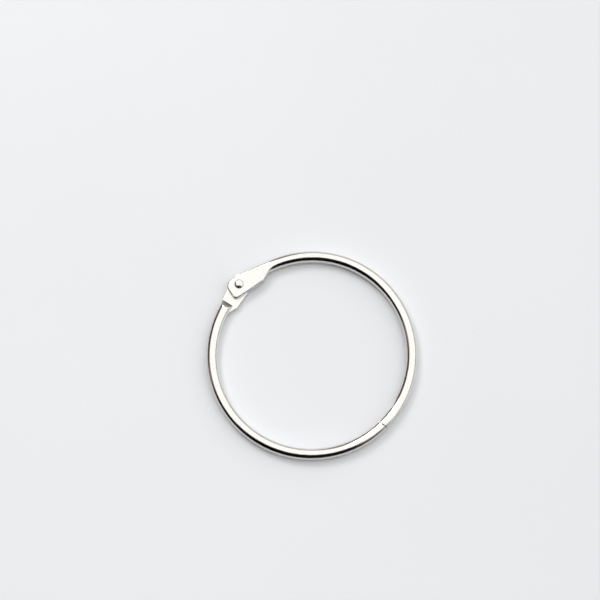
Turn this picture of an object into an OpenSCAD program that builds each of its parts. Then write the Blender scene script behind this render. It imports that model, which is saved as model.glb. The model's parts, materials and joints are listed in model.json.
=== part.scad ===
// Hinged binder ring: two stamped half rings of round wire, riveted together at a
// flattened hinge and snapped together at a half-lap clasp with interlocking hooks.
// The ring lies in the XY plane about the origin, hinge at -X and clasp at +X.

/* [Ring] */
// Clear diameter inside the closed ring
inner_d = 35; // [24:0.5:60]
// Diameter of the round wire
wire_d = 2.1; // [1.9:0.05:2.8]

/* [Hinge leaves] */
// Thickness of each flattened leaf
leaf_t = 0.9; // [0.75:0.05:0.95]
// How far the rivet lies outside the middle of the wire
hinge_out = 0.45; // [0.2:0.05:0.6]
// Distance from a leaf's shoulder to the rivet
leaf_reach = 4; // [3.6:0.1:6]
// Length of a leaf past the rivet
leaf_tail = 2.3; // [1.8:0.1:2.8]
// Angle each leaf leans out from the ring's tangent at the rivet
leaf_lean = 12; // [8:1:16]
// Width of each leaf round the rivet
leaf_w = 3.7; // [3.3:0.1:4.2]
// How far that width sits in towards the ring's middle
leaf_inset = 0.25; // [0.1:0.05:0.35]
// Width of each leaf at the shoulder
leaf_neck_w = 3.1; // [2.9:0.1:3.6]
// How far that width sits in towards the ring's middle
neck_inset = 0.45; // [0.2:0.05:0.5]
// Radius of a leaf end's outer corner
tail_outer_r = 1.5; // [0.6:0.1:1.8]
// Radius of a leaf end's inner corner
tail_inner_r = 0.8; // [0.2:0.1:1.4]
// Length of the pressed flat that runs out along the wire behind the shoulder
flat_run = 3.5; // [2.5:0.1:4.5]
// Gap between the two leaves
leaf_gap = 0.04; // [0.02:0.01:0.1]

/* [Rivet] */
// Diameter of the rivet's shank
rivet_d = 1.3; // [1:0.05:1.5]
// Running clearance round the shank, on the radius
rivet_clearance = 0.05; // [0.02:0.01:0.1]
// Diameter of the domed end that shows on the upper leaf
stud_d = 1.75; // [1.6:0.05:2.3]
// Height of the domed end
stud_h = 0.5; // [0.3:0.05:0.8]
// Diameter of the low head under the lower leaf
head_d = 2.3; // [1.8:0.1:2.8]
// Height of the low head
head_h = 0.12; // [0.08:0.02:0.14]

/* [Clasp] */
// Length of the half lap
lap = 5.2; // [4.4:0.1:7]
// Angle round the ring from the X axis to the middle of the lap
lap_angle = 7.5; // [0:0.5:10]
// How far each hook reaches past the middle of the wire
hook = 0.35; // [0.2:0.05:0.4]
// Length of the sloping face between the two hooks
hook_slope = 0.7; // [0.4:0.05:1]
// Gap between the clasp's mating faces
lap_gap = 0.06; // [0.04:0.01:0.12]
// Depth of the waist pressed into the inner side behind the upper hook
waist = 0.25; // [0.1:0.05:0.4]
// Radius of that waist
waist_r = 3.5; // [2.5:0.1:5]
// Distance from the middle of the sloping face to the middle of that waist
waist_back = 1.2; // [0.8:0.1:1.6]
// Depth of the flat pressed on the outer side of both halves along the lap
outer_flat = 0.2; // [0.1:0.05:0.3]
// Radius of each hook tip's inner corner
tip_r = 0.9; // [0.4:0.1:1]
// Length of the chamfer on the inner edge of the step that each hook tip meets
step_chamfer = 0.6; // [0.2:0.1:1]
// Depth of that chamfer
step_chamfer_depth = 0.25; // [0.1:0.05:0.4]

/* [Hidden] */
$fn = 96;

wire_r = wire_d / 2;
ring_r = (inner_d + wire_d) / 2;
hinge_r = ring_r + hinge_out;
// The round wire ends inside its leaf, halfway from the shoulder to the rivet.
wire_end_angle = atan(leaf_reach / 2 / ring_r);
pin_hole_d = rivet_d + 2 * rivet_clearance;
leaf_bottom = leaf_gap / 2;
// How far cutting tools run past what they cut
over = 1;
// Half width of the tip of the pressed flat behind the shoulder
flat_tip_half_w = 0.3;
// The blank of a domed end is a ball cut off at the height of that end
function dome_r(d, h) = (d * d / 4 + h * h) / (2 * h);

// Local frame at the rivet: +Y runs along the leaf to its free end, +X is the outer side.
module at_leaf() {
    translate([-hinge_r, 0, 0]) rotate([0, 0, 180 - leaf_lean]) children();
}

// Local frame at the middle of the lap: +X points out of the ring, +Y runs back along the half.
module at_lap(angle) {
    rotate([0, 0, angle]) translate([ring_r, 0, 0]) children();
}

// Stands a profile drawn as (along the wire, up) on the wire and runs it right across it.
module across_wire() {
    reach = wire_r + over;
    translate([-reach, 0, 0]) rotate([90, 0, 90]) linear_extrude(2 * reach) children();
}

// Round wire from one angle to another.
module wire(from, to) {
    rotate([0, 0, from]) rotate_extrude(angle = to - from) translate([ring_r, 0]) circle(d = wire_d);
}

// A square corner of material with a quarter disc left in it, to round a corner off with.
module corner(r) {
    difference() {
        square(r + over);
        circle(r);
    }
}

// Plan of a leaf, with the pressed flat that runs out along the wire behind it.
module leaf_plan() {
    outer = leaf_w / 2 - leaf_inset;
    inner = -leaf_w / 2 - leaf_inset;
    neck_outer = leaf_neck_w / 2 - neck_inset;
    neck_inner = -leaf_neck_w / 2 - neck_inset;
    wide_start = -leaf_tail / 2;
    difference() {
        polygon([
            [-flat_tip_half_w, -leaf_reach - flat_run], [neck_inner, -leaf_reach],
            [inner, wide_start], [inner, leaf_tail], [outer, leaf_tail], [outer, wide_start],
            [neck_outer, -leaf_reach], [flat_tip_half_w, -leaf_reach - flat_run],
        ]);
        translate([outer - tail_outer_r, leaf_tail - tail_outer_r]) corner(tail_outer_r);
        translate([inner + tail_inner_r, leaf_tail - tail_inner_r]) mirror([1, 0]) corner(tail_inner_r);
    }
}

module leaf() {
    at_leaf() translate([0, 0, leaf_bottom]) linear_extrude(leaf_t - leaf_bottom) leaf_plan();
}

// The sloping shoulder, which leaves room for the other half's leaf.
module shoulder_cut() {
    drop = wire_r + leaf_bottom;
    at_leaf() translate([0, -leaf_reach, 0]) across_wire() polygon([
        [leaf_reach, leaf_bottom], [0, leaf_bottom], [-drop, -wire_r], [-drop - over, -wire_r - over],
        [leaf_reach, -wire_r - over],
    ]);
}

// The gentle run-out of the pressed flat on the leaf's own side, on the sweep of a large roll.
module flat_cut() {
    rise = wire_r - leaf_t;
    roll_r = (flat_run * flat_run + rise * rise) / (2 * rise);
    at_leaf() translate([0, -leaf_reach, leaf_t]) across_wire() {
        translate([0, roll_r]) circle(roll_r);
        square([leaf_reach, rise + over]);
    }
}

// Side view of what the half lap leaves out: all that lies past the tip or under the hooks' seam.
module lap_cut_profile() {
    gap = lap_gap / 2;
    tip = -lap / 2 + gap;
    step = lap / 2 + gap;
    slope = hook_slope / 2;
    past = wire_r + over;
    polygon([
        [tip, past], [tip, gap - hook], [-gap - slope, gap - hook], [slope - gap, gap + hook],
        [step, gap + hook], [step, -past], [-lap - over, -past], [-lap - over, past],
    ]);
}

// The waist, pressed into the inner side of both halves at the upper hook's root.
module waist_cut() {
    at_lap(lap_angle) translate([waist - wire_r - waist_r, waist_back, -wire_r - over])
        cylinder(r = waist_r, h = 2 * (wire_r + over));
}

// The flat on the outer side along the lap.
module outer_flat_cut() {
    at_lap(lap_angle) translate([wire_r - outer_flat, -lap, -wire_r - over])
        cube([outer_flat + over, 2 * lap, 2 * (wire_r + over)]);
}

// The rounded inner corner of a hook's tip.
module tip_cut() {
    translate([tip_r - wire_r, tip_r - lap / 2, -wire_r - over]) linear_extrude(2 * (wire_r + over))
        rotate([0, 0, 180]) corner(tip_r);
}

// The chamfer on the inner edge of the step.
module step_cut() {
    translate([-wire_r, lap / 2, -wire_r - over]) linear_extrude(wire_r + over + hook + lap_gap / 2)
        polygon([
            [-over, -over], [step_chamfer_depth, -over], [step_chamfer_depth, 0], [0, step_chamfer],
            [-over, step_chamfer],
        ]);
}

// One half, with its leaf and hook uppermost. clasp_angle places the middle of its lap.
module half_ring(clasp_angle) {
    tip_angle = clasp_angle - asin((lap / 2 + over / 2) / ring_r);
    difference() {
        union() {
            difference() {
                wire(tip_angle, 180 - wire_end_angle);
                shoulder_cut();
                flat_cut();
            }
            leaf();
        }
        at_lap(clasp_angle) {
            across_wire() lap_cut_profile();
            tip_cut();
            step_cut();
        }
    }
}

module half_ring_upper() {
    color("silver") difference() {
        half_ring(lap_angle);
        waist_cut();
        outer_flat_cut();
        translate([-hinge_r, 0, -over]) cylinder(d = pin_hole_d, h = leaf_t + 2 * over);
    }
}

module half_ring_lower() {
    color("silver") difference() {
        rotate([180, 0, 0]) half_ring(-lap_angle);
        waist_cut();
        outer_flat_cut();
        translate([-hinge_r, 0, -leaf_t - over]) cylinder(d = rivet_d, h = leaf_t + 2 * over);
    }
}

// A ball's cap of diameter d and height h, standing on z = 0.
module dome(d, h) {
    r = dome_r(d, h);
    intersection() {
        translate([0, 0, h - r]) sphere(r);
        cylinder(d = d + over, h = h + over);
    }
}

module hinge_rivet() {
    stud_base = leaf_t + leaf_gap / 2;
    color("gainsboro") translate([-hinge_r, 0, 0]) {
        translate([0, 0, -leaf_t]) cylinder(d = rivet_d, h = leaf_t + stud_base);
        translate([0, 0, stud_base]) dome(stud_d, stud_h);
        translate([0, 0, -leaf_t]) mirror([0, 0, 1]) dome(head_d, head_h);
    }
}

half_ring_upper();
half_ring_lower();
hinge_rivet();
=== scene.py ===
"""The looks of a hinged binder ring: two stamped halves of nickel-plated wire and their rivet.

The frame gives the ring's radius, the wire, the hinge and the rivet's box. Each half is one lofted
mesh: rays go out from a line that runs inside the metal, and stop at its surface, which is described
by a distance field with rounded edges. Lengths are millimetres and angles are degrees, unless a
comment says otherwise.
"""
import json
import math

import bmesh
import bpy
import numpy as np
from mathutils import Matrix, Vector


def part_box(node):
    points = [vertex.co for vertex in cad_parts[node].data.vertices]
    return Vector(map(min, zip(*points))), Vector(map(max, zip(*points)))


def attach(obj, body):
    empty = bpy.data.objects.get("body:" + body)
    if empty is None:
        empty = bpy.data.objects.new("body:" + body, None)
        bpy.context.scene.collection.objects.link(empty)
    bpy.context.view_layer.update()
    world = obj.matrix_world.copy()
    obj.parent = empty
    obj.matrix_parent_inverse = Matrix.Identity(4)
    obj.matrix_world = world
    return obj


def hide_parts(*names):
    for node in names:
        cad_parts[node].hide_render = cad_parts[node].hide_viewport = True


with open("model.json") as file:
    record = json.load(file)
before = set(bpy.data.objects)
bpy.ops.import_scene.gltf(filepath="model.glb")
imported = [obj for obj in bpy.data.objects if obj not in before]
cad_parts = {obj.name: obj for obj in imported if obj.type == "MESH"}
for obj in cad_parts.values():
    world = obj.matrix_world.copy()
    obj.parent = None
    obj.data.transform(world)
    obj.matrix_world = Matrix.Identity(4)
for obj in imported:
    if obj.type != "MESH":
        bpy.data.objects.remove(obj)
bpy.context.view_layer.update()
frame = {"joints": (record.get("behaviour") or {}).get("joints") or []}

MM = 0.001
HINGE = frame["joints"][0]
HINGE_R = -HINGE["pos_m"][0] / MM
WIRE_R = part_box("half_ring_upper")[1].z / MM
RING_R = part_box("half_ring_upper")[1].y / MM - WIRE_R
STUD_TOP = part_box("hinge_rivet")[1].z / MM
HEAD_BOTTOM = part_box("hinge_rivet")[0].z / MM
HEAD_R = (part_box("hinge_rivet")[1].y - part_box("hinge_rivet")[0].y) / 2 / MM

# Hinge leaves, in a frame at the rivet: +Y runs to the free end, +X is the ring's outer side.
LEAF_T = 0.9
LEAF_BOTTOM = 0.02
LEAF_REACH = 4.0
LEAF_TAIL = 2.3
LEAF_HEADING = 168.0
LEAF_OUTER, LEAF_INNER = 1.6, -2.1
NECK_OUTER, NECK_INNER = 1.1, -2.0
WIDE_START = -1.15
TAIL_OUTER_R, TAIL_INNER_R = 1.5, 0.8
FLAT_RUN = 3.5
FLAT_TIP = 0.3
ROLLED_EDGE = 0.36
FAYING_EDGE = 0.12
PRESSED_EDGE = 0.12
SHOULDER_FILLET = 0.25
WIRE_END_EDGE = 0.5

# Rivet, with the bores round its shank: tight in the lower half, running in the upper half
SHANK_R = 0.65
HOLE_R = 0.7
STUD_R = 0.875
STUD_BASE = LEAF_T + LEAF_BOTTOM

# Clasp, in a frame at the middle of the lap: +X points out of the ring, +Y runs back along the half.
# The gap and the sloping face are given as halves, from the lap's middle.
LAP = 5.2
LAP_ANGLE = 7.5
HALF_GAP = 0.03
HOOK = 0.35
HALF_SLOPE = 0.35
TIP_R = 0.9
STEP_CHAMFER, STEP_CHAMFER_DEPTH = 0.6, 0.25
WAIST, WAIST_R, WAIST_BACK = 0.25, 3.5, 1.2
OUTER_FLAT = 0.2
EDGE = 0.06
FLAT_EDGE = 0.1
WAIST_EDGE = 0.15

# Loft: points round a section, sections that close an end, and steps of each ray
ROUND = 160
CAP_RINGS = 22
TRACE_STEPS = 70
TRACE_CAUTION = 0.9
HOOK_CAP_DEPTH, LEAF_CAP_DEPTH = 0.8, 1.2
# Spacing of the sections: far from an edge of the shape, and at one
CLASP_SPACING = 0.09, 0.012
LEAF_SPACING = 0.1, 0.03
SPACING_GROWTH = 0.18
WIRE_SPACING = 0.26
# Angle round the ring over which the sections turn from the clasp's or leaf's heading to the wire's
HEADING_TURN = 11.0
# Changes on the way to a leaf: how far behind the shoulder each starts, and how long it takes
LEAF_LEAD = 2.2
STEER = 1.2, 3.2
LIFT = 4.8, 3.9
FLATTEN = 1.6, 2.4
# Changes in the clasp: where along the lap each starts, or how far before or past the step, and
# how long it takes
NECK_RISE = -0.9, 0.8
SETTLE = 0.1, 2.0
THICKEN = -0.3, 1.0
PAST_STEP = 1.0
SETTLE_ARC = 1.2

# Rivet's turned surface: steps and squareness of the profile of each domed end
RIVET_SEGMENTS = 96
HEAD_PROFILE, STUD_PROFILE = (14, 2.1), (30, 2.3)
DENT = 0.018
DRILL_REACH = 3.0

# Edges sharper than these angles are kept crisp.
HALF_CREASE, RIVET_CREASE = 40, 50


# ---------------------------------------------------------------- distance fields

def cut(a, b, r):
    """What lies in both a and b, with the edge between them rounded to r."""
    outside = np.hypot(np.maximum(a + r, 0), np.maximum(b + r, 0))
    return np.minimum(np.maximum(a, b), -r) + outside


def join(a, b, r):
    """What lies in a or b, with the corner between them filled to r."""
    return -cut(-a, -b, r)


def smooth(t):
    """0 below 0, 1 above 1, and a soft step between."""
    t = np.clip(t, 0, 1)
    return t * t * (3 - 2 * t)


def turned(x, y, angle):
    """x and y as seen from axes turned by an angle."""
    c, s = math.cos(math.radians(angle)), math.sin(math.radians(angle))
    return x * c + y * s, y * c - x * s


def leaf_edges(y):
    """Outer and inner edge of a leaf at y, and of the pressed flat that runs out behind it."""
    widen = smooth((y + LEAF_REACH) / (WIDE_START + LEAF_REACH))
    run_out = np.clip((-LEAF_REACH - y) / FLAT_RUN, 0, 1)
    outer = NECK_OUTER + (LEAF_OUTER - NECK_OUTER) * widen
    inner = NECK_INNER + (LEAF_INNER - NECK_INNER) * widen
    return outer + (FLAT_TIP - outer) * run_out, inner - (FLAT_TIP + inner) * run_out


def hinge_field(x, y, z, wire):
    """The half's hinge end: wire, sloping shoulder, pressed flat and leaf."""
    across, along = turned(x + HINGE_R, y, LEAF_HEADING)
    rise = WIRE_R - LEAF_T
    roll_r = (FLAT_RUN**2 + rise**2) / (2 * rise)
    behind = np.maximum(-LEAF_REACH - along, 0)
    top = z - LEAF_T - behind**2 / (2 * roll_r)
    outer, inner = leaf_edges(along)
    plan = np.maximum(
        cut(across - outer, along - LEAF_TAIL, TAIL_OUTER_R),
        cut(inner - across, along - LEAF_TAIL, TAIL_INNER_R),
    )
    plan = np.maximum(plan, -LEAF_REACH - FLAT_RUN - along)
    leaf = cut(cut(plan, z - LEAF_T, ROLLED_EDGE), LEAF_BOTTOM - z, FAYING_EDGE)
    shank = cut(cut(wire, top, PRESSED_EDGE), along + LEAF_REACH / 2, WIRE_END_EDGE)
    metal = np.maximum(join(leaf, shank, SHOULDER_FILLET), top)
    ramp = (along + LEAF_REACH - (z - LEAF_BOTTOM)) / math.sqrt(2)
    return cut(metal, join(LEAF_BOTTOM - z, ramp, EDGE), EDGE)


def clasp_field(x, y, z, wire, lap_angle, waist_back):
    """The half's clasp end: half lap, hook, rounded tip, chamfered step, outer flat and waist."""
    radial = np.hypot(x, y) - RING_R
    across, along = turned(x, y, lap_angle)
    across = across - RING_R
    slope_length = math.hypot(2 * HALF_SLOPE, 2 * HOOK)
    slope = (HOOK * (along + HALF_GAP) - HALF_SLOPE * (z - HALF_GAP)) * 2 / slope_length
    tongue = cut(HALF_GAP - HOOK - z, slope, EDGE)
    tongue = join(tongue, HALF_GAP + HOOK - z, EDGE)
    tongue = join(tongue, LAP / 2 + HALF_GAP - along, EDGE)
    metal = cut(wire, tongue, EDGE)
    tip = cut(-WIRE_R - EDGE - radial, HALF_GAP - LAP / 2 - along, TIP_R)
    metal = cut(metal, tip, EDGE)
    inward = -(radial + WIRE_R - STEP_CHAMFER_DEPTH)
    past_step = along - LAP / 2
    chamfer = (STEP_CHAMFER * inward - STEP_CHAMFER_DEPTH * past_step) / math.hypot(
        STEP_CHAMFER, STEP_CHAMFER_DEPTH
    )
    chamfer = np.minimum(chamfer, inward)
    chamfer = np.minimum(chamfer, np.minimum(past_step + WIRE_R, HALF_GAP + HOOK - z))
    metal = cut(metal, chamfer, EDGE)
    metal = cut(metal, across - WIRE_R + OUTER_FLAT, FLAT_EDGE)
    waist = WAIST_R - np.hypot(across + WIRE_R + WAIST_R - WAIST, along - waist_back)
    return cut(metal, waist, WAIST_EDGE)


def half_field(points, lap_angle, waist_back):
    """Distance of points from the surface of a half that has its leaf and hook uppermost."""
    x, y, z = points[..., 0], points[..., 1], points[..., 2]
    wire = np.hypot(np.hypot(x, y) - RING_R, z) - WIRE_R
    return np.where(
        x > 0,
        clasp_field(x, y, z, wire, lap_angle, waist_back),
        hinge_field(x, y, z, wire),
    )


# ---------------------------------------------------------------- meshes

def stepped(start, end, spacing, marks):
    """Values from start to end, with fine steps near each mark and coarse steps far from them."""
    coarse, fine = spacing
    values = [start]
    while values[-1] < end:
        nearest = min(abs(values[-1] - mark) for mark in marks)
        values.append(values[-1] + min(coarse, fine + SPACING_GROWTH * nearest))
    values[-1] = end
    return np.array(values)


def mesh_of_rings(name, rings, first, last):
    """A closed mesh through rings of points, with a point at each end. Points are millimetres."""
    count, size = rings.shape[0], rings.shape[1]
    points = np.concatenate([rings.reshape(-1, 3), [first], [last]]) * MM
    step = np.arange(size)
    following = (step + 1) % size
    faces = []
    for row in range(count - 1):
        low, high = row * size, (row + 1) * size
        quads = np.stack([low + step, low + following, high + following, high + step], 1)
        faces.extend(quads.tolist())
    first_at, last_at = count * size, count * size + 1
    faces.extend([[first_at, int(b), int(a)] for a, b in zip(step, following)])
    end = (count - 1) * size
    faces.extend([[last_at, int(end + a), int(end + b)] for a, b in zip(step, following)])
    mesh = bpy.data.meshes.new(name)
    mesh.from_pydata(points.tolist(), [], faces)
    work = bmesh.new()
    work.from_mesh(mesh)
    bmesh.ops.recalc_face_normals(work, faces=work.faces)
    work.to_mesh(mesh)
    work.free()
    piece = bpy.data.objects.new(name, mesh)
    bpy.context.scene.collection.objects.link(piece)
    return piece


def shade(piece, sharp_angle):
    """Smooth shading, with edges sharper than an angle kept crisp."""
    piece.data.polygons.foreach_set("use_smooth", [True] * len(piece.data.polygons))
    piece.data.set_sharp_from_angle(angle=math.radians(sharp_angle))


def change(along, start, length):
    """How far a change has gone along a line: 0 up to its start, and 1 from its end."""
    return smooth((along - start) / length)


def clasp_stations(lap_angle):
    """Angle, heading, height and half thickness of each section across the clasp."""
    slope_ends = [-HALF_GAP - HALF_SLOPE, HALF_SLOPE - HALF_GAP]
    step = LAP / 2 + HALF_GAP
    along = stepped(TIP_R - LAP / 2, step + PAST_STEP, CLASP_SPACING, slope_ends + [step])
    angle = lap_angle + np.degrees(np.arcsin(along / RING_R))
    tongue = (WIRE_R - HOOK) / 2
    neck = (WIRE_R + HOOK) / 2
    height = tongue + (neck - tongue) * change(along, *NECK_RISE)
    height = height - neck * change(along - step, *SETTLE)
    high = neck + (WIRE_R - neck) * change(along - step, *THICKEN)
    return angle, np.full_like(angle, lap_angle), height, high


def arc_length(angle):
    """Length along the wire's centre line that spans an angle."""
    return angle * math.radians(1) * RING_R


def wire_stations(start, end, lap_angle):
    """Angle and heading of each section along the plain wire."""
    count = int(arc_length(end - start) / WIRE_SPACING)
    angle = np.linspace(start, end, count)[1:-1]
    heading = angle + (lap_angle - angle) * (1 - change(angle, start, HEADING_TURN))
    heading = heading + (LEAF_HEADING - angle) * change(angle, end - HEADING_TURN, HEADING_TURN)
    return angle, heading


def half_ring(lap_angle, waist_back):
    """Rings of points from the hook's tip to the leaf's free end, and the point that closes each end."""
    leaf_in = turned(HINGE_R, 0.0, LEAF_HEADING)
    bar_start = -LEAF_REACH - LEAF_LEAD
    bar = stepped(bar_start, LEAF_TAIL - TAIL_OUTER_R, LEAF_SPACING, [-LEAF_REACH, WIDE_START])
    from_shoulder = bar + LEAF_REACH
    on_circle = leaf_in[0] + np.sqrt(RING_R**2 - (bar - leaf_in[1]) ** 2)
    middle = (LEAF_OUTER + LEAF_INNER) / 2
    bar_across = on_circle + (middle - on_circle) * change(from_shoulder, -STEER[0], STEER[1])
    x, y = turned(bar_across, bar, -LEAF_HEADING)
    bar_centres = np.stack([x - HINGE_R, y], 1)
    bar_angle = math.degrees(math.atan2(bar_centres[0, 1], bar_centres[0, 0]))

    lap_angles, lap_headings, lap_heights, lap_highs = clasp_stations(lap_angle)
    wire_angles, wire_headings = wire_stations(lap_angles[-1], bar_angle, lap_angle)
    angles = np.radians(np.concatenate([lap_angles, wire_angles]))
    centres = np.concatenate([RING_R * np.stack([np.cos(angles), np.sin(angles)], 1), bar_centres])
    headings = np.concatenate([lap_headings, wire_headings, np.full(len(bar), LEAF_HEADING)])
    past_clasp = arc_length(wire_angles - lap_angles[-1])
    settle = lap_heights[-1] * (1 - change(past_clasp, 0, SETTLE_ARC))
    leaf_mid = (LEAF_T + LEAF_BOTTOM) / 2
    lift = leaf_mid * change(from_shoulder, -LIFT[0], LIFT[1])
    wire_from_shoulder = -LEAF_LEAD - arc_length(bar_angle - wire_angles)
    wire_lift = leaf_mid * change(wire_from_shoulder, -LIFT[0], LIFT[1])
    heights = np.concatenate([lap_heights, settle + wire_lift, lift])
    flat = change(from_shoulder, -FLATTEN[0], FLATTEN[1])
    leaf_half_w = (LEAF_OUTER - LEAF_INNER) / 2
    leaf_half_t = (LEAF_T - LEAF_BOTTOM) / 2
    wides = np.concatenate([np.full(len(angles), WIRE_R), WIRE_R + (leaf_half_w - WIRE_R) * flat])
    highs = np.concatenate([
        lap_highs, np.full(len(wire_angles), WIRE_R), WIRE_R + (leaf_half_t - WIRE_R) * flat
    ])

    around = np.linspace(0, 2 * math.pi, ROUND, endpoint=False) - math.pi / 2
    starts, ways = [], []

    def add(i, tilt, deep):
        """Aim the rays of section i, leaning along the half by tilt radians to close an end."""
        turn = math.radians(headings[i])
        across = np.array([math.cos(turn), math.sin(turn), 0])
        onward = np.array([-math.sin(turn), math.cos(turn), 0])
        way = (
            np.outer(wides[i] * math.cos(tilt) * np.cos(around), across)
            + deep * math.sin(tilt) * onward
            + np.outer(highs[i] * math.cos(tilt) * np.sin(around), (0, 0, 1))
        )
        starts.append(np.broadcast_to([*centres[i], heights[i]], way.shape))
        ways.append(way / np.linalg.norm(way, axis=1, keepdims=True))

    tilts = [math.pi / 2 * k / CAP_RINGS for k in range(1, CAP_RINGS + 1)]
    last = len(centres) - 1
    for tilt in reversed(tilts):
        add(0, -tilt, HOOK_CAP_DEPTH)
    for i in range(len(centres)):
        add(i, 0.0, 0.0)
    for tilt in tilts:
        add(last, tilt, LEAF_CAP_DEPTH)
    starts, ways = np.array(starts), np.array(ways)
    reach = np.zeros(starts.shape[:2] + (1,))
    for _ in range(TRACE_STEPS):
        distance = half_field(starts + ways * reach, lap_angle, waist_back)[..., None]
        reach = np.maximum(reach - TRACE_CAUTION * distance, 0)
    rings = starts + ways * reach
    return rings[1:-1], rings[0].mean(0), rings[-1].mean(0)


def turned_over(points):
    """The points after half a turn about the X axis."""
    return points * np.array([1, -1, -1])


def revolved(name, profile, rough):
    """A turned piece about the rivet's axis from (radius, height) points, its domed end hammered."""
    around = np.linspace(0, 2 * math.pi, RIVET_SEGMENTS, endpoint=False)
    rings = np.array([
        np.stack([r * np.cos(around) - HINGE_R, r * np.sin(around), np.full_like(around, h)], 1)
        for r, h in profile
    ])
    dent = rough * (np.sin(3 * around + 0.6) + 0.6 * np.sin(5 * around + 2.1))
    lift = np.array([max(h - STUD_BASE, 0) for r, h in profile]) / (STUD_TOP - STUD_BASE)
    rings[..., 2] += lift[:, None] * dent[None, :] * np.array([r for r, h in profile])[:, None]
    return mesh_of_rings(name, rings, (-HINGE_R, 0, profile[0][1]), (-HINGE_R, 0, profile[-1][1]))


def drilled(piece, radius):
    """The piece with a round hole of that radius through it on the rivet's axis."""
    edge = [(radius, h) for h in (-DRILL_REACH, DRILL_REACH)]
    tool = revolved("drill", edge, 0.0)
    bore = piece.modifiers.new("bore", "BOOLEAN")
    bore.operation = "DIFFERENCE"
    bore.solver = "EXACT"
    bore.object = tool
    bpy.context.view_layer.update()
    solid = piece.evaluated_get(bpy.context.evaluated_depsgraph_get())
    mesh = bpy.data.meshes.new_from_object(solid)
    piece.modifiers.clear()
    piece.data = mesh
    bpy.data.objects.remove(tool)
    return piece


def bulge(radius, height, base, steps, squareness):
    """Profile of a domed end: a superellipse from its rim to its middle."""
    points = []
    for k in range(steps):
        t = math.pi / 2 * k / steps
        points.append((
            radius * math.cos(t) ** (2 / squareness),
            base + height * math.sin(t) ** (2 / squareness),
        ))
    return points


def rivet_profile():
    """From the middle of the low head, up the shank, to the middle of the domed end."""
    low = bulge(HEAD_R, HEAD_BOTTOM + LEAF_T, -LEAF_T, *HEAD_PROFILE)
    high = bulge(STUD_R, STUD_TOP - STUD_BASE, STUD_BASE, *STUD_PROFILE)
    return list(reversed(low)) + [(SHANK_R, -LEAF_T), (SHANK_R, STUD_BASE)] + high


# ---------------------------------------------------------------- materials

class Nodes:
    """Short ways to add and link shader nodes."""

    def __init__(self, tree):
        self.tree = tree

    def add(self, kind, **values):
        node = self.tree.nodes.new(kind)
        for key, value in values.items():
            setattr(node, key, value)
        return node

    def link(self, source, target):
        self.tree.links.new(source, target)

    def math(self, operation, a, b=None):
        node = self.add("ShaderNodeMath", operation=operation)
        for socket, value in zip(node.inputs, (a, b)):
            if isinstance(value, (int, float)):
                socket.default_value = value
            elif value is not None:
                self.link(value, socket)
        return node.outputs[0]

    def step(self, value, low, high, to_low=0.0, to_high=1.0):
        node = self.add("ShaderNodeMapRange", interpolation_type="SMOOTHSTEP")
        for socket, number in zip(node.inputs[1:5], (low, high, to_low, to_high)):
            socket.default_value = number
        self.link(value, node.inputs[0])
        return node.outputs[0]

    def ramp(self, value, low, low_colour, high, high_colour):
        node = self.add("ShaderNodeValToRGB")
        for element, place, colour in zip(
            node.color_ramp.elements, (low, high), (low_colour, high_colour)
        ):
            element.position, element.color = place, (*colour, 1)
        self.link(value, node.inputs[0])
        return node.outputs[0]

    def bump(self, height, strength, distance):
        node = self.add("ShaderNodeBump")
        node.inputs["Strength"].default_value = strength
        node.inputs["Distance"].default_value = distance * MM
        self.link(height, node.inputs["Height"])
        return node.outputs[0]

    def noise(self, vector, scale, detail=3.0, rough=0.5):
        node = self.add("ShaderNodeTexNoise")
        node.inputs["Scale"].default_value = scale
        node.inputs["Detail"].default_value = detail
        node.inputs["Roughness"].default_value = rough
        self.link(vector, node.inputs["Vector"])
        return node.outputs["Fac"]

    def vector(self, x, y, z):
        node = self.add("ShaderNodeCombineXYZ")
        for socket, value in zip(node.inputs, (x, y, z)):
            if isinstance(value, (int, float)):
                socket.default_value = value
            else:
                self.link(value, socket)
        return node.outputs[0]


def new_material(name):
    material = bpy.data.materials.new(name)
    material.use_nodes = True
    nodes = Nodes(material.node_tree)
    shader = material.node_tree.nodes["Principled BSDF"]
    return material, nodes, shader


# The leaves' satin fades between these distances from the rivet's middle.
SATIN_REACH = 3.2, 5.6
# The chatter marks, in radians round the ring: where they fade in, and where they fade out.
CHATTER_BEGIN, CHATTER_END = (-2.05, -1.85), (-1.45, -1.2)
# Noise is drawn out along the wire by the first factor, and across it by the second.
DRAW_STRETCH, CHATTER_STRETCH = 0.12, 0.2


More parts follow.
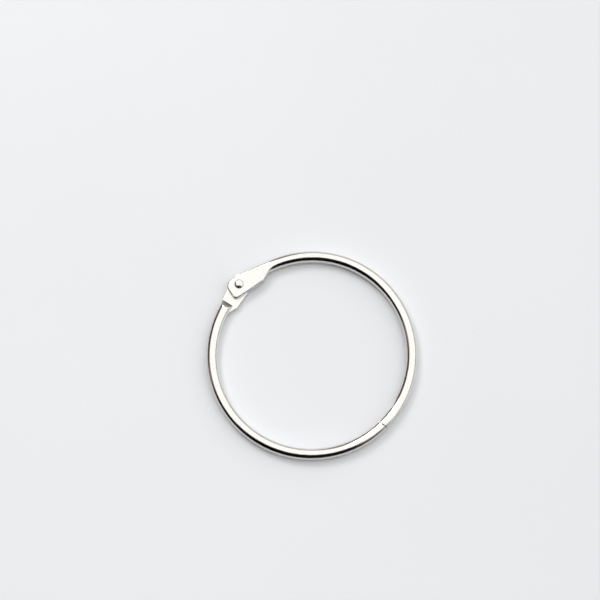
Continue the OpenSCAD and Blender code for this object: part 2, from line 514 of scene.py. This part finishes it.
def nickel():
    """Polished nickel plate: draw lines along the wire, chatter marks across it, satin leaves."""
    material, nodes, shader = new_material("nickel_plate")
    shader.inputs["Metallic"].default_value = 1.0
    place = nodes.add("ShaderNodeTexCoord").outputs["Object"]
    split = nodes.add("ShaderNodeSeparateXYZ")
    nodes.link(place, split.inputs[0])
    x, y, z = [nodes.math("DIVIDE", out, MM) for out in split.outputs]
    turn = nodes.math("ARCTAN2", y, x)
    arc = nodes.math("MULTIPLY", turn, RING_R)
    squares = nodes.math("ADD", nodes.math("MULTIPLY", x, x), nodes.math("MULTIPLY", y, y))
    radius = nodes.math("SQRT", squares)
    spot = nodes.vector(x, y, z)

    from_rivet = nodes.add("ShaderNodeVectorMath", operation="DISTANCE")
    nodes.link(spot, from_rivet.inputs[0])
    from_rivet.inputs[1].default_value = (-HINGE_R, 0, 0)
    leaf = nodes.step(from_rivet.outputs["Value"], *SATIN_REACH, 1.0, 0.0)

    drawn = nodes.vector(nodes.math("MULTIPLY", arc, DRAW_STRETCH), radius, z)
    draw = nodes.noise(drawn, 7.0, 4.0, 0.6)
    crosswise = nodes.vector(arc, nodes.math("MULTIPLY", radius, CHATTER_STRETCH), 0.0)
    chatter_line = nodes.noise(crosswise, 5.0, 3.0, 0.7)
    marks_begin = nodes.step(turn, *CHATTER_BEGIN)
    near_marks = nodes.math("MULTIPLY", marks_begin, nodes.step(turn, *CHATTER_END, 1.0, 0.0))
    depth = nodes.math("ADD", nodes.math("MULTIPLY", near_marks, 0.8), 0.12)
    chatter = nodes.math("MULTIPLY", chatter_line, depth)
    mottle = nodes.noise(spot, 2.4, 5.0, 0.62)
    grain = nodes.noise(spot, 16.0, 3.0, 0.6)

    stain = nodes.math("ADD", nodes.math("MULTIPLY", mottle, 0.6), nodes.math("MULTIPLY", draw, 0.4))
    tint = nodes.ramp(stain, 0.3, (0.70, 0.675, 0.64), 0.7, (0.84, 0.83, 0.80))
    nodes.link(tint, shader.inputs["Base Color"])

    polish = nodes.step(draw, 0.35, 0.75, 0.075, 0.15)
    satin = nodes.step(mottle, 0.35, 0.7, 0.2, 0.34)
    polished = nodes.math("MULTIPLY", polish, nodes.math("SUBTRACT", 1.0, leaf))
    rough = nodes.math("ADD", polished, nodes.math("MULTIPLY", satin, leaf))
    nodes.link(rough, shader.inputs["Roughness"])

    height = nodes.math("ADD", nodes.math("MULTIPLY", draw, 0.5), chatter)
    for marks, amount in ((mottle, 0.8), (grain, 0.35)):
        on_leaf = nodes.math("MULTIPLY", marks, leaf)
        height = nodes.math("ADD", height, nodes.math("MULTIPLY", on_leaf, amount))
    nodes.link(nodes.bump(height, 0.5, 0.03), shader.inputs["Normal"])
    return material


def rivet_metal():
    """The rivet's plated steel: a little duller, dimpled by the peening tool."""
    material, nodes, shader = new_material("rivet_metal")
    shader.inputs["Metallic"].default_value = 1.0
    place = nodes.add("ShaderNodeTexCoord").outputs["Object"]
    scaled = nodes.add("ShaderNodeVectorMath", operation="SCALE")
    scaled.inputs["Scale"].default_value = 1 / MM
    nodes.link(place, scaled.inputs[0])
    spot = scaled.outputs[0]
    dimples = nodes.noise(spot, 3.0, 3.0, 0.5)
    grain = nodes.noise(spot, 22.0, 3.0, 0.6)
    tint = nodes.ramp(dimples, 0.3, (0.68, 0.655, 0.62), 0.7, (0.82, 0.81, 0.78))
    nodes.link(tint, shader.inputs["Base Color"])
    nodes.link(nodes.step(grain, 0.3, 0.7, 0.14, 0.26), shader.inputs["Roughness"])
    height = nodes.math("ADD", dimples, nodes.math("MULTIPLY", grain, 0.15))
    nodes.link(nodes.bump(height, 0.5, 0.05), shader.inputs["Normal"])
    return material


def floor_paper():
    """A pale, slightly glossy table top, all but even in colour."""
    material, nodes, shader = new_material("pale_floor")
    place = nodes.add("ShaderNodeTexCoord").outputs["Object"]
    soft = nodes.noise(place, 14.0, 2.0, 0.5)
    tint = nodes.ramp(soft, 0.2, (0.83, 0.852, 0.875), 0.8, (0.855, 0.877, 0.90))
    nodes.link(tint, shader.inputs["Base Color"])
    shader.inputs["Roughness"].default_value = 0.2
    return material


# ---------------------------------------------------------------- pieces

NICKEL = nickel()
# Each half: node, body, lap's angle and waist's place before it is turned over, bore, turned over
HALVES = (
    ("half_ring_upper", "upper_half", LAP_ANGLE, WAIST_BACK, HOLE_R, False),
    ("half_ring_lower", "lower_half", -LAP_ANGLE, -WAIST_BACK, SHANK_R, True),
)
for node, body, lap_angle, waist_back, hole_r, under in HALVES:
    rings, first, last = half_ring(lap_angle, waist_back)
    if under:
        rings, first, last = turned_over(rings), turned_over(first), turned_over(last)
    piece = drilled(mesh_of_rings(node + "_plated", rings, first, last), hole_r)
    shade(piece, HALF_CREASE)
    piece.data.materials.clear()
    piece.data.materials.append(NICKEL)
    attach(piece, body)
    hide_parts(node)

rivet = revolved("hinge_rivet_peened", rivet_profile(), DENT)
shade(rivet, RIVET_CREASE)
rivet.data.materials.append(rivet_metal())
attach(rivet, "lower_half")
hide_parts("hinge_rivet")

# ---------------------------------------------------------------- stage

# Directions in the picture, as compass angles in the ring's plane.
PICTURE_UP = 134.6
PICTURE_RIGHT = PICTURE_UP - 90
CAMERA_SIDE = PICTURE_UP + 191.7
CAMERA_TILT = 10.5
CAMERA_DISTANCE = 450.0
VIEW_WIDTH = 111.4
SENSOR = 36.0
RING_RIGHT_OF_CENTRE, RING_BELOW_CENTRE = 2.18, 10.2
CLIP_START_M = 0.01
FLOOR_HALF_M = 1.5

# The tent's brightness and colour
TENT = 1.32
TENT_COLOUR = (1.0, 0.995, 0.985, 1)
# Dim parts of the tent: angle from the picture's right, lean from overhead, radii of the even part
# and of the whole, and what is left of the light there.
DIM_PATCHES = (
    (-103, 50, 30, 39, (0.015, 0.015, 0.02, 1)),
    (-95, 80, 30, 46, (0.3, 0.25, 0.23, 1)),
    (-62, 66, 16, 30, (0.12, 0.12, 0.12, 1)),
    (-138, 68, 26, 38, (0.06, 0.055, 0.055, 1)),
    (183, 85, 36, 50, (0.26, 0.2, 0.18, 1)),
    (138, 88, 36, 48, (0.3, 0.23, 0.21, 1)),
)

# The tent's foot, all round: its height as a sine, and what is left of the light there.
FOOT = 0.42
FOOT_COLOUR = (0.2, 0.2, 0.2, 1)

# The window: angle from the picture's up, lean from overhead, distance, diameter, and watts
WINDOW_ANGLE, WINDOW_LEAN, WINDOW_DISTANCE, WINDOW_SIZE, WINDOW_POWER = 35, 45, 700, 260, 1.2


def compass(angle, tilt):
    """Unit vector that leans tilt degrees from straight up towards a compass angle."""
    a, t = math.radians(angle), math.radians(tilt)
    return Vector((math.cos(a) * math.sin(t), math.sin(a) * math.sin(t), math.cos(t)))


def add_camera():
    """Looks almost straight down on the ring, from a little below it in the picture."""
    towards = compass(CAMERA_SIDE, CAMERA_TILT)
    up_hint = compass(PICTURE_UP, 90)
    right = up_hint.cross(towards).normalized()
    up = towards.cross(right).normalized()
    aim = up * RING_BELOW_CENTRE - right * RING_RIGHT_OF_CENTRE
    spot = (aim + towards * CAMERA_DISTANCE) * MM
    data = bpy.data.cameras.new("camera")
    data.sensor_width = SENSOR
    data.lens = SENSOR * CAMERA_DISTANCE / VIEW_WIDTH
    data.clip_start = CLIP_START_M
    camera = bpy.data.objects.new("camera", data)
    bpy.context.scene.collection.objects.link(camera)
    turn = Matrix((right, up, towards)).transposed()
    camera.matrix_world = Matrix.Translation(spot) @ turn.to_4x4()
    bpy.context.scene.camera = camera


def add_floor():
    """The table top that the ring's wire rests on."""
    work = bmesh.new()
    bmesh.ops.create_grid(work, x_segments=8, y_segments=8, size=FLOOR_HALF_M)
    mesh = bpy.data.meshes.new("floor")
    work.to_mesh(mesh)
    work.free()
    floor = bpy.data.objects.new("floor", mesh)
    floor.location.z = -WIRE_R * MM
    bpy.context.scene.collection.objects.link(floor)
    floor.data.materials.append(floor_paper())


def add_world():
    """A bright tent, dim round its foot and in patches towards the picture's bottom and left."""
    world = bpy.data.worlds.new("studio")
    world.use_nodes = True
    bpy.context.scene.world = world
    nodes = Nodes(world.node_tree)
    way = nodes.add("ShaderNodeTexCoord").outputs["Generated"]
    height = nodes.add("ShaderNodeSeparateXYZ")
    nodes.link(way, height.inputs[0])
    dims = [(nodes.step(height.outputs["Z"], 0.0, FOOT, 1.0, 0.0), FOOT_COLOUR)]
    for angle, tilt, near, far, colour in DIM_PATCHES:
        dot = nodes.add("ShaderNodeVectorMath", operation="DOT_PRODUCT")
        nodes.link(way, dot.inputs[0])
        dot.inputs[1].default_value = compass(PICTURE_RIGHT + angle, tilt)
        near_cos, far_cos = math.cos(math.radians(near)), math.cos(math.radians(far))
        dims.append((nodes.step(dot.outputs["Value"], far_cos, near_cos), colour))
    plain = nodes.add("ShaderNodeRGB")
    plain.outputs[0].default_value = TENT_COLOUR
    tint = plain.outputs[0]
    for inside, colour in dims:
        mix = nodes.add("ShaderNodeMix", data_type="RGBA", blend_type="MULTIPLY")
        nodes.link(inside, mix.inputs["Factor"])
        before, patch = [socket for socket in mix.inputs if socket.type == "RGBA"]
        nodes.link(tint, before)
        patch.default_value = colour
        tint = [socket for socket in mix.outputs if socket.type == "RGBA"][0]
    background = world.node_tree.nodes["Background"]
    nodes.link(tint, background.inputs["Color"])
    background.inputs["Strength"].default_value = TENT


def add_window():
    """One round lamp, for a soft shadow."""
    data = bpy.data.lights.new("window", "AREA")
    data.shape = "DISK"
    data.size = WINDOW_SIZE * MM
    data.energy = WINDOW_POWER
    lamp = bpy.data.objects.new("window", data)
    bpy.context.scene.collection.objects.link(lamp)
    way = compass(PICTURE_UP + WINDOW_ANGLE, WINDOW_LEAN)
    facing = way.to_track_quat("Z", "Y").to_matrix().to_4x4()
    lamp.matrix_world = Matrix.Translation(way * WINDOW_DISTANCE * MM) @ facing


add_camera()
add_floor()
add_world()
add_window()
bpy.context.scene.view_settings.view_transform = "Standard"
